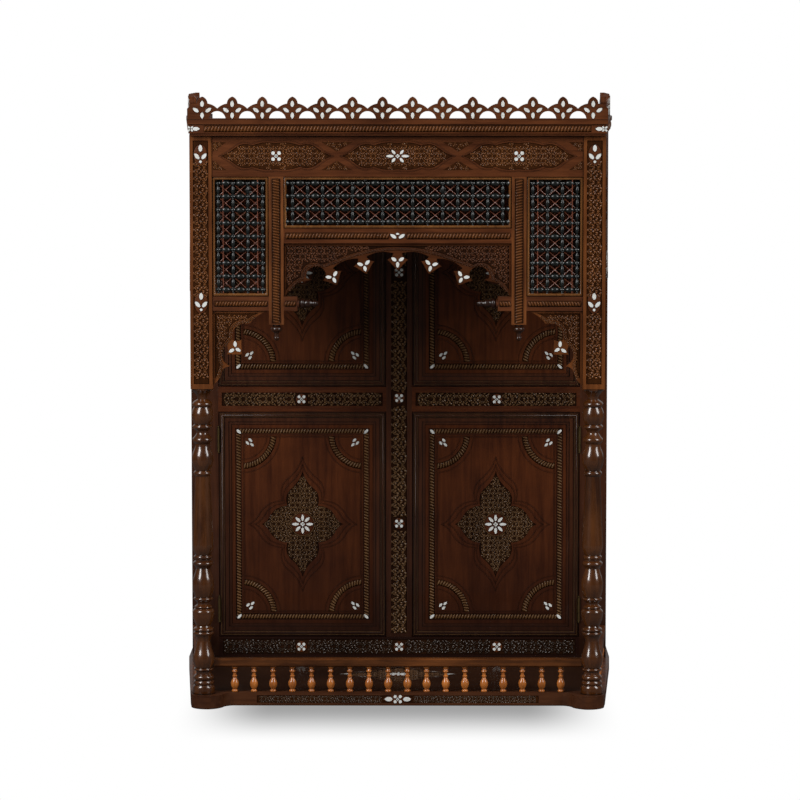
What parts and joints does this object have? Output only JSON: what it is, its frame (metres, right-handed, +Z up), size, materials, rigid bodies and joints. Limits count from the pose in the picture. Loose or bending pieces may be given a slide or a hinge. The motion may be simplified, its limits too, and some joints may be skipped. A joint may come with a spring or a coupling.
{
  "type": "carved cabinet with porch",
  "caption": "Tall carved wooden cabinet with four hinged doors behind a deep columned porch with cusped arch, turned lattices, pierced crest and a low spindle gallery.",
  "frame": {"origin": "centre of the bounding box in plan, on the floor plane under the platform", "axes": "+Z up, the front with its columns and arch faces -Y, +X to the right as seen from the front; the left and right halves mirror each other about X = 0"},
  "size_m": [1.08, 0.89, 1.475],
  "materials": {
    "carved_wood": "dark walnut brown, hand carved, waxed gloss, with mother-of-pearl inlay",
    "door_wood": "dark red-brown walnut, carved and waxed",
    "column_wood": "turned, deep red-brown, high gloss",
    "lattice_wood": "small turned members, near black gloss",
    "spindle_wood": "turned, light orange-brown, polished",
    "rail_wood": "mid brown, waxed",
    "deck_wood": "dark brown board with a carved medallion",
    "carcass_wood": "plain dark brown boards, satin",
    "hinge_brass": "aged brass",
    "shell_inlay": "mother-of-pearl inlay",
    "catch_metal": "small brown push catch"
  },
  "bodies": {
    "cabinet": {"arch_panel": "carved_wood", "back_panel": "carcass_wood", "base_bearers": "carcass_wood", "base_corner_blocks": "carved_wood", "base_front_rail": "carved_wood", "base_side_left": "carved_wood", "base_side_right": "carved_wood", "bracket_left": "carved_wood", "bracket_right": "carved_wood", "canopy_side_left": "carved_wood", "canopy_side_right": "carved_wood", "carcass_boards": "carcass_wood", "carcass_side_left": "carcass_wood", "carcass_side_right": "carcass_wood", "centre_rope_rail": "carved_wood", "centre_stile": "carved_wood", "column_left": "column_wood", "column_right": "column_wood", "cornice_front": "carved_wood", "cornice_side_left": "carved_wood", "cornice_side_right": "carved_wood", "crest_front": "carved_wood", "crest_side_left": "carved_wood", "crest_side_right": "carved_wood", "deck_board": "deck_wood", "door_catches": "catch_metal", "face_rails": "carved_wood", "face_stile_left": "carved_wood", "face_stile_right": "carved_wood", "frieze_rail": "carved_wood", "front_post_left": "carved_wood", "front_post_right": "carved_wood", "gallery_rail_front": "rail_wood", "gallery_rail_left": "rail_wood", "gallery_rail_right": "rail_wood", "gallery_spindles_front": "spindle_wood", "gallery_spindles_sides": "spindle_wood", "hinges_on_frame": "hinge_brass", "lattice_centre": "lattice_wood", "lattice_flank_left": "lattice_wood", "lattice_flank_right": "lattice_wood", "lattice_left": "lattice_wood", "lattice_right": "lattice_wood", "porch_roof": "carcass_wood", "rope_rail_left": "carved_wood", "rope_rail_right": "carved_wood", "rope_strip_left": "carved_wood", "rope_strip_right": "carved_wood"},
    "door_lower_left": {"door_frame_lower_left": "door_wood", "door_panel_lower_left": "door_wood", "hinge_leaves_lower_left": "hinge_brass"},
    "door_lower_right": {"door_frame_lower_right": "door_wood", "door_panel_lower_right": "door_wood", "hinge_leaves_lower_right": "hinge_brass"},
    "door_upper_left": {"door_frame_upper_left": "door_wood", "door_panel_upper_left": "door_wood", "hinge_leaves_upper_left": "hinge_brass"},
    "door_upper_right": {"door_frame_upper_right": "door_wood", "door_panel_upper_right": "door_wood", "hinge_leaves_upper_right": "hinge_brass"}
  },
  "joints": [
    {"name": "door_lower_left_hinge", "type": "hinge", "parent": "cabinet", "child": "door_lower_left", "pos_m": [-0.46125, 0.1415, 0.3745], "axis": [0, 0, -1], "range_deg": [0, 90]},
    {"name": "door_lower_right_hinge", "type": "hinge", "parent": "cabinet", "child": "door_lower_right", "pos_m": [0.46125, 0.1415, 0.3745], "axis": [0, 0, 1], "range_deg": [0, 90]},
    {"name": "door_upper_left_hinge", "type": "hinge", "parent": "cabinet", "child": "door_upper_left", "pos_m": [-0.46125, 0.1415, 1.0195], "axis": [0, 0, -1], "range_deg": [0, 90]},
    {"name": "door_upper_right_hinge", "type": "hinge", "parent": "cabinet", "child": "door_upper_right", "pos_m": [0.46125, 0.1415, 1.0195], "axis": [0, 0, 1], "range_deg": [0, 90]}
  ]
}
